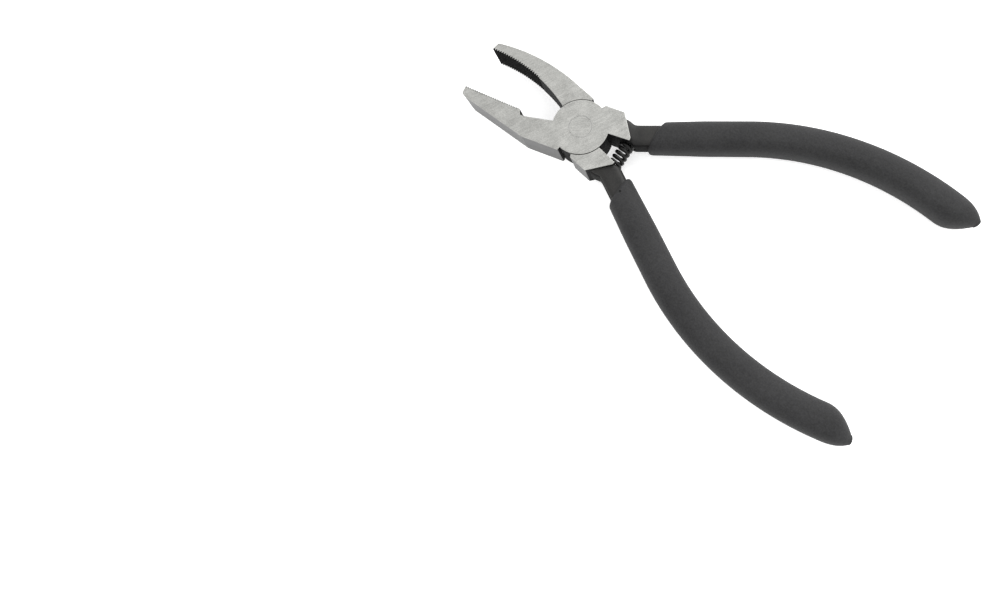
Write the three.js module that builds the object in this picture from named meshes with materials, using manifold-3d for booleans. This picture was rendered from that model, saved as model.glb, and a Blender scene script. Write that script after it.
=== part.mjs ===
// Small grozing pliers for stained glass: two forged halves in a flush lap joint, a rivet, a return
// spring between the shoulders and a dipped grip on each handle.
// Millimetres. +Z is up through the joint, the jaws point to -X and the handles to +X.
// The origin is on the underside, on the axis of the rivet.
import * as THREE from "three";
import { mergeVertices } from "three/addons/utils/BufferGeometryUtils.js";
import Module from "manifold-3d";

const wasm = await Module();
wasm.setup();

const RAD = Math.PI / 180;

// Overall sizes
const HEAD_THICKNESS = 10;
const JAW_REACH = 38.4; // rivet axis to jaw tip
const HANDLE_REACH = 111; // rivet axis to grip end
const REST_OPENING = 21 * RAD; // angle between the halves as the spring holds them

// Lap joint
const JOINT_RADIUS = 8.5;
const JOINT_CLEARANCE = 0.15; // round each disc
const LAP_CLEARANCE = 0.1; // between the two discs
const DISC_SEGMENTS = 60;
const RIVET_SEGMENTS = 48;
const OVERRUN = 1; // how far a cutter passes beyond a face
const RIVET_RADIUS = 2.9;
const RIVET_HEAD_RADIUS = 3.4;
const RIVET_HEAD_DEPTH = 0.9;
const RIVET_PRESS_CLEARANCE = 0.02; // in the front half, which holds the rivet
const RIVET_RUNNING_CLEARANCE = 0.06; // in the back half, which turns on it

// Jaws, measured with the tool closed: the parting line is y = 0 and the jaw is below it
const HEEL_WALL = 0.45; // outer edge beyond the disc
const EDGE_CHAMFER = 0.25;
const TIP_CLEARANCE = 0.1; // left between the closed tips
const TIP_WIDTH = 2.6;
const TIP_BEVEL = 1.8; // length of the slanted corner behind the tip
const TEETH_LENGTH = 18.9; // toothed stretch, from the tip
const TOOTH_PITCH = 0.8;
const TOOTH_DEPTH = 0.45;
const GROOVE_WIDTH = 0.96 * TOOTH_PITCH; // at the jaw's edge
const FIRST_GROOVE = 0.75 * TOOTH_PITCH; // tip to the middle of the first groove
const TEETH_GAP = 1.1; // straight jaw to parting line at the last tooth
const STEP_DROP = 1.7; // straight jaw, step behind the teeth
const STEP_RUN = 0.9;
const STEP_LAND = 1.3;
const OUTER_KINK = 15.3; // rivet axis to the bend in the straight jaw's outer edge
const CURVED_BOW = 2.2; // how far the curved jaw's inner edge bows from its chord
const CURVED_OUTER_BOW = 1.55;
const CURVED_STEPS = 28; // straight pieces along the curved jaw's inner edge
const CURVED_OUTER_STEPS = 16;
const CURVED_HEEL_RUN = 10; // rivet axis to where the curved jaw's outer edge starts to curve
const THROAT_ANGLE = 187.5 * RAD; // where each jaw's inner edge meets the disc
const HEEL_ANGLE = 248.5 * RAD; // where each jaw's heel meets the disc
const HEEL_LEAN = 0.3;

// Shoulders, closed, above the parting line
const SHOULDER_RISE = 0.2; // outer edge beyond the disc
const SHOULDER_STEP_ANGLE = 64.5 * RAD;
const SHOULDER_STEP_LEAN = 0.75;
const SHOULDER_INNER_ANGLE = 6 * RAD;
const SHOULDER_FLAT = 1.9; // disc to the end of the outer edge
const SHOULDER_LENGTH = 6.6; // disc to the shoulder's rear corner
const SHOULDER_REAR_DEPTH = 2;
const SHOULDER_GAP = 1.1; // shoulder to parting line

// Handle
const NECK_DEPTH = 3.7; // parting line to the middle of the neck
const HANDLE_HEADING = 20.3 * RAD;
const BEND_ANGLE = 46.9 * RAD;
const BEND_RADIUS = 81;
const SHANK_WIDTH = 6.7;
const SHANK_HEIGHT = 7.2;
const SHANK_CORNER = 4; // power of the section's rounding: higher is squarer
const SHANK_SIDES = 12;
const SHANK_STEPS = 14; // under the grip
// Where the forging swells from the shank into the shoulder
const NECK_RINGS = [
  { at: -5.5, extraWidth: 0, extraHeight: 1.6 },
  { at: -3, extraWidth: 0.3, extraHeight: 1.4 },
  { at: -1, extraWidth: 0.3, extraHeight: 0.8 },
  { at: 1.2, extraWidth: 0.1, extraHeight: 0.2 },
  { at: 3, extraWidth: 0, extraHeight: 0 },
];
const TANG_TIP = 3; // length of the tang's tapered end
const TANG_TIP_TAPER = 2.6; // narrower and lower at the end

// Grips
const GRIP_WIDTH = 10;
const GRIP_HEIGHT = 10;
const GRIP_CORNER = 2.5;
const GRIP_SIDES = 20;
const GRIP_STEPS = 22;
const GRIP_START = 6.3; // along the handle's line, from the neck to the lip
const LIP_ROUND = 1.2;
const LIP_SLANT = 29.5 * RAD;
const SLANT_RUN = 11; // length over which the slanted lip turns square to the handle
const LIP_SLIMMING = 0.3; // thinner skin at the lip, each side
const SLIM_RUN = 14; // lip to the grip's full width
const GRIP_TAPER = 9; // length of the tapered end
const TAPER_POWER = 2.6; // higher is blunter
const LIP_SHARES = [0, 0.12, 0.4, 1]; // where the lip's and the end's rings stand along them
const TAPER_SHARES = [0.3, 0.5, 0.65, 0.78, 0.9, 1];
const NIB_HALF_WIDTH = 1.1;
const NIB_SHIFT = 2;
const GRIP_CLEARANCE = 0.1;
const TANG_STOP = 8; // grip end to tang end

// Return spring
const SPRING_SETBACK = 5.2; // disc to the spring's middle
const SPRING_DIAMETER = 4.5; // outside the coil
const WIRE_DIAMETER = 1;
const STEPS_PER_TURN = 12;
const SPRING_PITCH = 1.6;
const POCKET_DEPTH = 3.2;
const POCKET_CLEARANCE = 0.3; // round the coil
const SEAT_CLEARANCE = 0.05; // at each end of the coil

const HALF_OPENING = REST_OPENING / 2;
const MID_HEIGHT = HEAD_THICKNESS / 2;
const TIP_Y = -TIP_CLEARANCE / 2;
const JAW_DEPTH = JOINT_RADIUS + HEEL_WALL;
const SHOULDER_REAR_X = JOINT_RADIUS + SHOULDER_LENGTH;
const SPRING_X = JOINT_RADIUS + SPRING_SETBACK;
const NECK = new THREE.Vector2(SHOULDER_REAR_X, NECK_DEPTH);

// ---- Solids ----

function solidFrom(geometry) {
  const bare = geometry.index ? geometry.toNonIndexed() : geometry.clone();
  bare.deleteAttribute("normal");
  bare.deleteAttribute("uv");
  const merged = mergeVertices(bare, 1e-4);
  return new wasm.Manifold(
    new wasm.Mesh({
      numProp: 3,
      vertProperties: new Float32Array(merged.attributes.position.array),
      triVerts: new Uint32Array(merged.index.array),
    }),
  );
}

function geometryFrom(solid) {
  const mesh = solid.getMesh();
  const geometry = new THREE.BufferGeometry();
  geometry.setAttribute("position", new THREE.BufferAttribute(mesh.vertProperties, 3));
  geometry.setIndex(new THREE.BufferAttribute(mesh.triVerts, 1));
  const faceted = geometry.toNonIndexed();
  faceted.computeVertexNormals();
  return faceted;
}

// A plate with the head's thickness and chamfered edges, from an outline.
function plate(points) {
  const geometry = new THREE.ExtrudeGeometry(new THREE.Shape(points), {
    depth: HEAD_THICKNESS - 2 * EDGE_CHAMFER,
    bevelThickness: EDGE_CHAMFER,
    bevelSize: EDGE_CHAMFER,
    bevelOffset: -EDGE_CHAMFER,
    bevelSegments: 1,
    curveSegments: 24,
  });
  return solidFrom(geometry.translate(0, 0, EDGE_CHAMFER));
}

// A round solid about the rivet's axis, from its profile of [radius, height] pairs.
function round(profile, segments = DISC_SEGMENTS) {
  const points = profile.map(([radius, height]) => new THREE.Vector2(radius, height));
  return solidFrom(new THREE.LatheGeometry(points, segments).rotateX(Math.PI / 2));
}

function cylinder(radius, bottom, top) {
  return round([
    [0, bottom],
    [radius, bottom],
    [radius, top],
    [0, top],
  ]);
}

// A closed skin over rings of points, each end filled to its own centre.
function ringSolid(rings) {
  const count = rings[0].length;
  const centres = [rings[0], rings[rings.length - 1]].map((ring) =>
    ring.reduce((sum, p) => sum.add(p), new THREE.Vector3()).divideScalar(count),
  );
  const triangles = [];
  for (let i = 0; i < count; i++) {
    const next = (i + 1) % count;
    triangles.push(centres[0], rings[0][next], rings[0][i]);
    triangles.push(centres[1], rings[rings.length - 1][i], rings[rings.length - 1][next]);
    for (let r = 0; r + 1 < rings.length; r++) {
      const [near, far] = [rings[r], rings[r + 1]];
      triangles.push(near[i], near[next], far[i]);
      triangles.push(near[next], far[next], far[i]);
    }
  }
  return solidFrom(new THREE.BufferGeometry().setFromPoints(triangles));
}

const polar = (radius, angle) =>
  new THREE.Vector2(radius * Math.cos(angle), radius * Math.sin(angle));

// ---- Outlines, with the tool closed ----

const THROAT = polar(JOINT_RADIUS, THROAT_ANGLE);
const HEEL = polar(JOINT_RADIUS, HEEL_ANGLE);

function heelPoints() {
  return [new THREE.Vector2(), HEEL, new THREE.Vector2(HEEL.x - HEEL_LEAN, -JAW_DEPTH)];
}

function straightJawOutline() {
  const teethEnd = -JAW_REACH + TEETH_LENGTH;
  const stepFoot = teethEnd + STEP_RUN;
  return [
    new THREE.Vector2(-JAW_REACH, TIP_Y),
    new THREE.Vector2(teethEnd, -TEETH_GAP),
    new THREE.Vector2(stepFoot, -TEETH_GAP - STEP_DROP),
    new THREE.Vector2(stepFoot + STEP_LAND, -TEETH_GAP - STEP_DROP),
    THROAT,
    ...heelPoints(),
    new THREE.Vector2(-OUTER_KINK, -JAW_DEPTH),
    new THREE.Vector2(-JAW_REACH + TIP_BEVEL, TIP_Y - TIP_WIDTH - TIP_BEVEL / 2),
    new THREE.Vector2(-JAW_REACH, TIP_Y - TIP_WIDTH),
  ];
}

// Points on an arc from start to end that bows by the given height to the right of its chord.
function bowedPoints(start, end, bow, steps) {
  const chord = end.clone().sub(start);
  const right = new THREE.Vector2(chord.y, -chord.x).normalize();
  const radius = (chord.lengthSq() / 4 + bow * bow) / (2 * bow);
  const centre = start.clone().add(end).multiplyScalar(0.5);
  centre.addScaledVector(right, bow - radius);
  const reach = Math.asin(chord.length() / 2 / radius);
  return Array.from({ length: steps + 1 }, (_, i) => {
    const turn = reach * ((2 * i) / steps - 1);
    const along = chord.clone().normalize().multiplyScalar(radius * Math.sin(turn));
    return centre.clone().add(along).addScaledVector(right, radius * Math.cos(turn));
  });
}

const CURVED_TIP = new THREE.Vector2(-JAW_REACH, TIP_Y);

function curvedJawOutline() {
  const outerTip = new THREE.Vector2(-JAW_REACH + TIP_BEVEL, TIP_Y - TIP_WIDTH - TIP_BEVEL / 2);
  const outerHeel = new THREE.Vector2(-CURVED_HEEL_RUN, -JAW_DEPTH);
  return [
    ...bowedPoints(CURVED_TIP, THROAT, CURVED_BOW, CURVED_STEPS),
    ...heelPoints(),
    outerHeel,
    ...bowedPoints(outerTip, outerHeel, CURVED_OUTER_BOW, CURVED_OUTER_STEPS).reverse().slice(1),
    new THREE.Vector2(-JAW_REACH, TIP_Y - TIP_WIDTH),
  ];
}

function shoulderOutline() {
  const step = polar(JOINT_RADIUS, SHOULDER_STEP_ANGLE);
  const depth = JOINT_RADIUS + SHOULDER_RISE;
  return [
    new THREE.Vector2(),
    polar(JOINT_RADIUS, SHOULDER_INNER_ANGLE),
    new THREE.Vector2(SHOULDER_REAR_X, SHOULDER_GAP),
    new THREE.Vector2(SHOULDER_REAR_X, SHOULDER_REAR_DEPTH),
    new THREE.Vector2(JOINT_RADIUS + SHOULDER_FLAT, depth),
    new THREE.Vector2(step.x + SHOULDER_STEP_LEAN, depth),
    step,
  ];
}

// ---- Teeth: V grooves across the jaw's inner edge ----

// One groove from below the head to above it; deep points into the jaw.
function groove(point, along, deep) {
  const out = point.clone().addScaledVector(deep, -TOOTH_DEPTH);
  const half = GROOVE_WIDTH; // twice as wide there as at the edge, half way down
  const corners = [
    out.clone().addScaledVector(along, -half),
    point.clone().addScaledVector(deep, TOOTH_DEPTH),
    out.clone().addScaledVector(along, half),
  ];
  const geometry = new THREE.ExtrudeGeometry(new THREE.Shape(corners), {
    depth: HEAD_THICKNESS + 2 * OVERRUN,
    bevelEnabled: false,
  });
  return solidFrom(geometry.translate(0, 0, -OVERRUN));
}

function toothedEdge(points) {
  const path = new THREE.Path(points);
  const length = path.getLength();
  const count = Math.floor((TEETH_LENGTH - FIRST_GROOVE) / TOOTH_PITCH);
  const grooves = [];
  for (let i = 0; i < count; i++) {
    const u = (FIRST_GROOVE + i * TOOTH_PITCH) / length;
    const along = path.getTangentAt(u);
    const deep = new THREE.Vector2(along.y, -along.x);
    grooves.push(groove(path.getPointAt(u), along, deep));
  }
  return grooves.reduce((sum, piece) => sum.add(piece));
}

// ---- Handle ----

// The handle's centre line: straight from the neck, then bent inwards to the reach of the handle.
function handleSpine() {
  const heading = polar(1, HANDLE_HEADING);
  const turned = HANDLE_HEADING - BEND_ANGLE;
  const bend = new THREE.Vector2(
    Math.sin(HANDLE_HEADING) - Math.sin(turned),
    Math.cos(turned) - Math.cos(HANDLE_HEADING),
  ).multiplyScalar(BEND_RADIUS);
  const from = NECK.clone().add(bend);
  const across = from.dot(heading);
  const straight = Math.sqrt(across * across - from.lengthSq() + HANDLE_REACH ** 2) - across;
  const bendStart = NECK.clone().addScaledVector(heading, straight);
  const centre = bendStart.clone().add(polar(BEND_RADIUS, HANDLE_HEADING - Math.PI / 2));
  const path = new THREE.Path();
  path.moveTo(NECK.x, NECK.y);
  path.lineTo(bendStart.x, bendStart.y);
  path.absarc(centre.x, centre.y, BEND_RADIUS, HANDLE_HEADING + Math.PI / 2, turned + Math.PI / 2, true);
  return path;
}

const SPINE = handleSpine();
const SPINE_LENGTH = SPINE.getLength();

// One ring of the handle's skin. slant turns the ring's plane about Z; shift moves it to the left.
function section({ at, halfWidth, halfHeight, corner, count, slant = 0, shift = 0 }) {
  const u = THREE.MathUtils.clamp(at / SPINE_LENGTH, 0, 1);
  const tangent = SPINE.getTangentAt(u);
  const centre = SPINE.getPointAt(u).addScaledVector(tangent, at - u * SPINE_LENGTH);
  const left = new THREE.Vector2(-tangent.y, tangent.x);
  centre.addScaledVector(left, shift);
  const across = left.clone().rotateAround(new THREE.Vector2(), slant);
  const wide = halfWidth / Math.cos(slant);
  return Array.from({ length: count }, (_, i) => {
    const angle = (2 * Math.PI * (i + 0.5)) / count;
    const [c, s] = [Math.cos(angle), Math.sin(angle)];
    const x = wide * Math.sign(c) * Math.abs(c) ** (2 / corner);
    const z = halfHeight * Math.sign(s) * Math.abs(s) ** (2 / corner);
    const p = centre.clone().addScaledVector(across, x);
    return new THREE.Vector3(p.x, p.y, MID_HEIGHT + z);
  });
}

// The shank and its tang, grown by clearance all round for the hole in the grip.
function shank(clearance = 0) {
  const end = SPINE_LENGTH - TANG_STOP + clearance;
  // Near the neck each ring is moved out, so that its inner side stays clear of the parting line.
  const ring = ({ at, extraWidth, extraHeight }) => {
    const halfWidth = (SHANK_WIDTH + extraWidth) / 2;
    const spineY = NECK.y + Math.min(at, 0) * Math.sin(HANDLE_HEADING);
    const innerY = spineY - halfWidth * Math.cos(HANDLE_HEADING);
    return section({
      at,
      halfWidth: halfWidth + clearance,
      halfHeight: (SHANK_HEIGHT + extraHeight) / 2 + clearance,
      corner: SHANK_CORNER,
      count: SHANK_SIDES,
      shift: at > 0 ? 0 : Math.max(0, SHOULDER_GAP - innerY) / Math.cos(HANDLE_HEADING),
    });
  };
  const tapered = (at, taper) => ring({ at, extraWidth: -taper, extraHeight: -taper });
  const rings = NECK_RINGS.map(ring);
  const run = end - TANG_TIP - GRIP_START;
  for (let i = 0; i <= SHANK_STEPS; i++) rings.push(tapered(GRIP_START + (run * i) / SHANK_STEPS, 0));
  rings.push(tapered(end - TANG_TIP / 3, TANG_TIP_TAPER / 3));
  rings.push(tapered(end, TANG_TIP_TAPER));
  return ringSolid(rings);
}

function gripSkin() {
  const tail = SPINE_LENGTH - GRIP_TAPER;
  const ring = (at, inset, slant, shift = 0) =>
    section({
      at,
      halfWidth: GRIP_WIDTH / 2 - inset,
      halfHeight: GRIP_HEIGHT / 2 - inset,
      corner: GRIP_CORNER,
      count: GRIP_SIDES,
      slant,
      shift,
    });
  const slantAt = (along) => -LIP_SLANT * Math.max(0, 1 - along / SLANT_RUN) ** 2;
  const slimAt = (along) => LIP_SLIMMING * Math.max(0, 1 - along / SLIM_RUN);
  const rings = LIP_SHARES.map((share) => {
    const inset = LIP_ROUND * (1 - Math.sqrt(1 - (1 - share) ** 2));
    const along = LIP_ROUND * share;
    return ring(GRIP_START + along, inset + slimAt(along), slantAt(along));
  });
  const from = GRIP_START + LIP_ROUND;
  for (let i = 1; i <= GRIP_STEPS; i++) {
    const at = from + ((tail - from) * i) / GRIP_STEPS;
    rings.push(ring(at, slimAt(at - GRIP_START), slantAt(at - GRIP_START)));
  }
  const endInset = GRIP_WIDTH / 2 - NIB_HALF_WIDTH;
  for (const share of TAPER_SHARES) {
    const inset = endInset * share ** TAPER_POWER;
    rings.push(ring(tail + GRIP_TAPER * share, inset, 0, NIB_SHIFT * share ** 2));
  }
  return ringSolid(rings);
}

function grip() {
  return gripSkin().subtract(shank(GRIP_CLEARANCE));
}

// ---- Joint, rivet and spring ----

function rivet(clearance = 0, overrun = 0) {
  const [low, high] = [-overrun, HEAD_THICKNESS + overrun];
  const wide = RIVET_HEAD_RADIUS + clearance;
  const narrow = RIVET_RADIUS + clearance;
  return round(
    [
      [0, low],
      [wide, low],
      [wide, 0],
      [narrow, RIVET_HEAD_DEPTH],
      [narrow, HEAD_THICKNESS - RIVET_HEAD_DEPTH],
      [wide, HEAD_THICKNESS],
      [wide, high],
      [0, high],
    ].filter(([r, h], i, all) => i === 0 || r !== all[i - 1][0] || h !== all[i - 1][1]),
    RIVET_SEGMENTS,
  );
}

const POCKET_RADIUS = SPRING_DIAMETER / 2 + POCKET_CLEARANCE;
// The shoulder's inner edge at the spring, as it stands when the tool rests open.
const SHOULDER_FACE_Y = SPRING_X * Math.sin(HALF_OPENING) + SHOULDER_GAP * Math.cos(HALF_OPENING);
const POCKET_FLOOR_Y = SHOULDER_FACE_Y + POCKET_DEPTH;
const SPRING_LENGTH = 2 * (POCKET_FLOOR_Y - SEAT_CLEARANCE);

// The blind hole for one end of the spring, in the closed half's own frame.
function springPocket() {
  const length = POCKET_FLOOR_Y + 2 * OVERRUN;
  const hole = new THREE.CylinderGeometry(POCKET_RADIUS, POCKET_RADIUS, length, 32);
  hole.translate(0, POCKET_FLOOR_Y / 2 - OVERRUN, 0);
  hole.translate(SPRING_X, 0, MID_HEIGHT);
  return solidFrom(hole.rotateZ(-HALF_OPENING));
}

class CoilCurve extends THREE.Curve {
  getPoint(t, target = new THREE.Vector3()) {
    const radius = (SPRING_DIAMETER - WIRE_DIAMETER) / 2;
    const run = SPRING_LENGTH - WIRE_DIAMETER;
    const angle = (2 * Math.PI * t * run) / SPRING_PITCH;
    return target.set(
      SPRING_X + radius * Math.cos(angle),
      (t - 0.5) * run,
      MID_HEIGHT + radius * Math.sin(angle),
    );
  }
}

function spring() {
  const wire = new THREE.Shape().absarc(0, 0, WIRE_DIAMETER / 2, 0, 2 * Math.PI);
  const turns = SPRING_LENGTH / SPRING_PITCH;
  return new THREE.ExtrudeGeometry(wire, {
    steps: Math.round(turns * STEPS_PER_TURN),
    curveSegments: 4,
    bevelEnabled: false,
    extrudePath: new CoilCurve(),
  });
}

// One half, closed: discBottom and discTop are the heights that its own disc fills.
function half(jawOutline, grooves, discBottom, discTop, rivetClearance) {
  const lid = discBottom > 0;
  const otherBottom = lid ? -OVERRUN : discTop;
  const otherTop = lid ? discBottom : HEAD_THICKNESS + OVERRUN;
  const otherDisc = cylinder(JOINT_RADIUS + JOINT_CLEARANCE, otherBottom, otherTop);
  const outer = JOINT_RADIUS - EDGE_CHAMFER;
  const disc = round([
    [0, discBottom],
    [lid ? JOINT_RADIUS : outer, discBottom],
    [JOINT_RADIUS, lid ? discBottom + EDGE_CHAMFER : EDGE_CHAMFER],
    [JOINT_RADIUS, discTop - EDGE_CHAMFER],
    [lid ? outer : JOINT_RADIUS, discTop],
    [0, discTop],
  ]);
  return plate(jawOutline)
    .subtract(grooves)
    .add(plate(shoulderOutline()))
    .add(shank())
    .subtract(springPocket())
    .subtract(otherDisc)
    .add(disc)
    .subtract(rivet(rivetClearance, OVERRUN));
}

// ---- Materials and assembly ----

const steel = { color: 0xbfc0bd, roughness: 0.42, metalness: 0.85 };
const blackSteel = { color: 0x2b2b2a, roughness: 0.5, metalness: 0.8 };
const coating = { color: 0x424447, roughness: 0.85, metalness: 0 };

function mesh(name, geometry, look) {
  const made = new THREE.Mesh(geometry, new THREE.MeshStandardMaterial(look));
  made.name = name;
  return made;
}

const lapFace = LAP_CLEARANCE / 2;
const frontHalf = half(
  straightJawOutline(),
  toothedEdge([straightJawOutline()[0], straightJawOutline()[1]]),
  MID_HEIGHT + lapFace,
  HEAD_THICKNESS,
  RIVET_PRESS_CLEARANCE,
);
const backHalf = half(
  curvedJawOutline(),
  toothedEdge(bowedPoints(CURVED_TIP, THROAT, CURVED_BOW, CURVED_STEPS)),
  0,
  MID_HEIGHT - lapFace,
  RIVET_RUNNING_CLEARANCE,
);

const front = new THREE.Group();
front.rotation.z = HALF_OPENING;
front.add(mesh("front_half", geometryFrom(frontHalf), steel));
front.add(mesh("front_grip", geometryFrom(grip()), coating));

// The back half is laid out like the front one and mirrored across the parting line.
const back = new THREE.Group();
back.scale.y = -1;
back.rotation.z = -HALF_OPENING;
back.add(mesh("back_half", geometryFrom(backHalf), steel));
back.add(mesh("back_grip", geometryFrom(grip()), coating));

const group = new THREE.Group();
group.add(front, back);
group.add(mesh("pivot_rivet", geometryFrom(rivet()), steel));
group.add(mesh("return_spring", spring(), blackSteel));

export default group;
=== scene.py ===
# %% [markdown]
# # Grozing pliers
# Grozing pliers nibble the edge of a piece of stained glass. Two forged halves turn on a rivet, a coil
# spring behind the joint opens them again, and each handle is dipped in a matt coating.
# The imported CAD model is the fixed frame: it says where everything is and how it moves. This lesson
# builds the fine surfaces around it, one piece at a time, in the same coordinates and in metres.

# %% Load the frame
import math

import bmesh
import bpy
import numpy as np
from mathutils import Matrix, Vector


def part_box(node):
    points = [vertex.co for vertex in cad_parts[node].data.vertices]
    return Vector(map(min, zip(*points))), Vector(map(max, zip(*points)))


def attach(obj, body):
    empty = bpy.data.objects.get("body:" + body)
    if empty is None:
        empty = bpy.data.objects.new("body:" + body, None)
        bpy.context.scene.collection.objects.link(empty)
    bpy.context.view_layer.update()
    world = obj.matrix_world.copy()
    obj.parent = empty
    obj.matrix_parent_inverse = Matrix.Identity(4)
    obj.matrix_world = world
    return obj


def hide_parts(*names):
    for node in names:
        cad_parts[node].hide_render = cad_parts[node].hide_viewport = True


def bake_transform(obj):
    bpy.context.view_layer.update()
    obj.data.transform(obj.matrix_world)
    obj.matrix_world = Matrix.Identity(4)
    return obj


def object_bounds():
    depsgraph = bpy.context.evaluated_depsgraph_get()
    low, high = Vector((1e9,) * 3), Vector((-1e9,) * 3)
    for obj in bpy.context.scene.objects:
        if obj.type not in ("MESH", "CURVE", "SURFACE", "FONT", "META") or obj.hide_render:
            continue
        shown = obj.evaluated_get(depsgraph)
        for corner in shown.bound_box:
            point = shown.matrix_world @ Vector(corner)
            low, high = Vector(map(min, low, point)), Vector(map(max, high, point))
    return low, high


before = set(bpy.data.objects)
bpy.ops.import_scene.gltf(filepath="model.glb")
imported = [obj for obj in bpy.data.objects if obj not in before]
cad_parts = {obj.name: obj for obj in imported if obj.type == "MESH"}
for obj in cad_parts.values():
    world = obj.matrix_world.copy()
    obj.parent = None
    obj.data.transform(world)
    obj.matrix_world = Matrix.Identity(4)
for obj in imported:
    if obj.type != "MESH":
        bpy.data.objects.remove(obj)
cad_box = [list(corner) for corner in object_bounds()]
print("CAD box", [[round(v, 4) for v in corner] for corner in cad_box])

# %% [markdown]
# ## The camera, the light and the table
# The tool lies flat on a pale table under soft light, and we look down at it from above the open
# handles.
# A short lens close by gives a strong perspective, as when such a small thing is held near the eye.

# %% Place the camera
MM = 0.001
EYE = Vector((70.81, -49.65, 202.81)) * MM
SIGHT = Vector((-0.24504, 0.13955, -0.95942))
PICTURE_UP = Vector((-0.51394, 0.82041, 0.25059))
SENSOR_WIDTH = 36
LENS = 25.86
FRAMING_SHIFT = (-0.1, -0.08)

camera = bpy.data.objects.new("camera", bpy.data.cameras.new("camera"))
camera.data.sensor_width = SENSOR_WIDTH
camera.data.lens = LENS
camera.data.shift_x, camera.data.shift_y = FRAMING_SHIFT
camera.data.clip_start = 10 * MM
back = -SIGHT.normalized()
right = PICTURE_UP.cross(back).normalized()
axes = Matrix((right, back.cross(right), back)).transposed().to_4x4()
camera.matrix_world = Matrix.Translation(EYE) @ axes
bpy.context.scene.collection.objects.link(camera)
bpy.context.scene.camera = camera
print("camera", round(EYE.z, 3), "m above the table")

# %% Set the soft light
LAMP_PLACE = Vector((0.1, 0.75, 0.6))
LAMP_SIZE = 0.9
LAMP_WATTS = 7
ROOM_LIGHT = 1.0
WHITE = (1, 1, 1, 1)

light = bpy.data.lights.new("key_light", "AREA")
light.shape = "DISK"
light.size = LAMP_SIZE
light.energy = LAMP_WATTS
lamp = bpy.data.objects.new("key_light", light)
facing = LAMP_PLACE.to_track_quat("Z", "Y").to_matrix().to_4x4()
lamp.matrix_world = Matrix.Translation(LAMP_PLACE) @ facing
bpy.context.scene.collection.objects.link(lamp)

world = bpy.data.worlds.new("studio")
world.use_nodes = True
room = world.node_tree.nodes["Background"].inputs
room["Color"].default_value = WHITE
room["Strength"].default_value = ROOM_LIGHT
bpy.context.scene.world = world
bpy.context.scene.view_settings.view_transform = "Standard"
print("lamp", LAMP_SIZE, "m across,", round(LAMP_PLACE.length, 2), "m away")

# %% [markdown]
# ## Finishes from nodes
# Every finish here is worked out by shader nodes from the piece's own coordinates, so nothing is
# painted on and nothing slides when a piece moves. A short helper keeps the node code readable: it adds
# a node, sets its options and either fills each input or links it.

# %% Add a node and fill its inputs
def node(tree, kind, inputs=None, **options):
    made = tree.nodes.new(kind)
    for option, value in options.items():
        setattr(made, option, value)
    for name, value in (inputs or {}).items():
        if isinstance(value, bpy.types.NodeSocket):
            tree.links.new(value, made.inputs[name])
        else:
            made.inputs[name].default_value = value
    return made


def maths(tree, operation, a, b):
    return node(tree, "ShaderNodeMath", {0: a, 1: b}, operation=operation).outputs[0]


def blend_colours(tree, share, dark, light):
    """The mix node's colours are its inputs 6 and 7 and its output 2."""
    mixed = node(tree, "ShaderNodeMix", {0: share, 6: dark, 7: light}, data_type="RGBA")
    return mixed.outputs[2]


def spread(tree, value, low, high):
    """A mask from 0 to 1 becomes a number from low to high."""
    return node(tree, "ShaderNodeMapRange", {"Value": value, "To Min": low, "To Max": high}).outputs[0]


def new_group(name, inputs, outputs):
    tree = bpy.data.node_groups.new(name, "ShaderNodeTree")
    for label, value in inputs.items():
        socket = tree.interface.new_socket(label, in_out="INPUT", socket_type="NodeSocketFloat")
        socket.default_value = value
    for label in outputs:
        tree.interface.new_socket(label, in_out="OUTPUT", socket_type="NodeSocketFloat")
    given = tree.nodes.new("NodeGroupInput").outputs
    return tree, given, tree.nodes.new("NodeGroupOutput").inputs


EFFECTS = {}

# %% [markdown]
# ### Masks from noise
# Every effect starts from a noise texture whose size is given in millimetres. Its middle values are
# stretched to run from 0 to 1, because plain noise is too even to be seen. Several masks are then added
# up, each with its own share.

# %% Make a mask from noise, and add masks up
GRAIN_CONTRAST = (0.3, 0.7)
PATCH_CONTRAST = (0.4, 0.6)


def piece_place(tree):
    return node(tree, "ShaderNodeTexCoord").outputs["Object"]


def noise_mask(tree, place, size, detail, contrast=GRAIN_CONTRAST):
    scale = maths(tree, "DIVIDE", 1 / MM, size)
    wanted = {"Vector": place, "Scale": scale, "Detail": detail}
    noise = node(tree, "ShaderNodeTexNoise", wanted).outputs[0]
    limits = {"Value": noise, "From Min": contrast[0], "From Max": contrast[1]}
    return node(tree, "ShaderNodeMapRange", limits).outputs[0]


def add_up(tree, *parts):
    """Each part is a mask and its share."""
    shares = [maths(tree, "MULTIPLY", mask, share) for mask, share in parts]
    total = shares[0]
    for share in shares[1:]:
        total = maths(tree, "ADD", total, share)
    return total


# %% [markdown]
# ### Fine grain
# Ground steel, forge scale and dipped plastic all have a fine grain that differs only in size. Two
# sizes of noise are mixed, so that the grain also gathers into patches, as it does on a real surface.

# %% Make the fine grain
def make_fine_grain():
    sizes = {"Size": 0.3, "Patch Size": 6.0}
    tree, given, out = new_group("fine_grain", sizes, ["Grain", "Patches"])
    place = piece_place(tree)
    for size, output, detail in (("Size", "Grain", 3.0), ("Patch Size", "Patches", 4.0)):
        tree.links.new(noise_mask(tree, place, given[size], detail), out[output])
    return tree


EFFECTS["grain"] = make_fine_grain()
print("fine grain:", len(EFFECTS["grain"].nodes), "nodes")

# %% [markdown]
# ### Grinding marks
# A flat face is finished on a belt that runs across the head. The belt leaves fine parallel scratches,
# which is noise stretched a long way in one direction.

# %% Make the grinding marks
MARK_STRETCH = (1, 0.05, 1)


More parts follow.
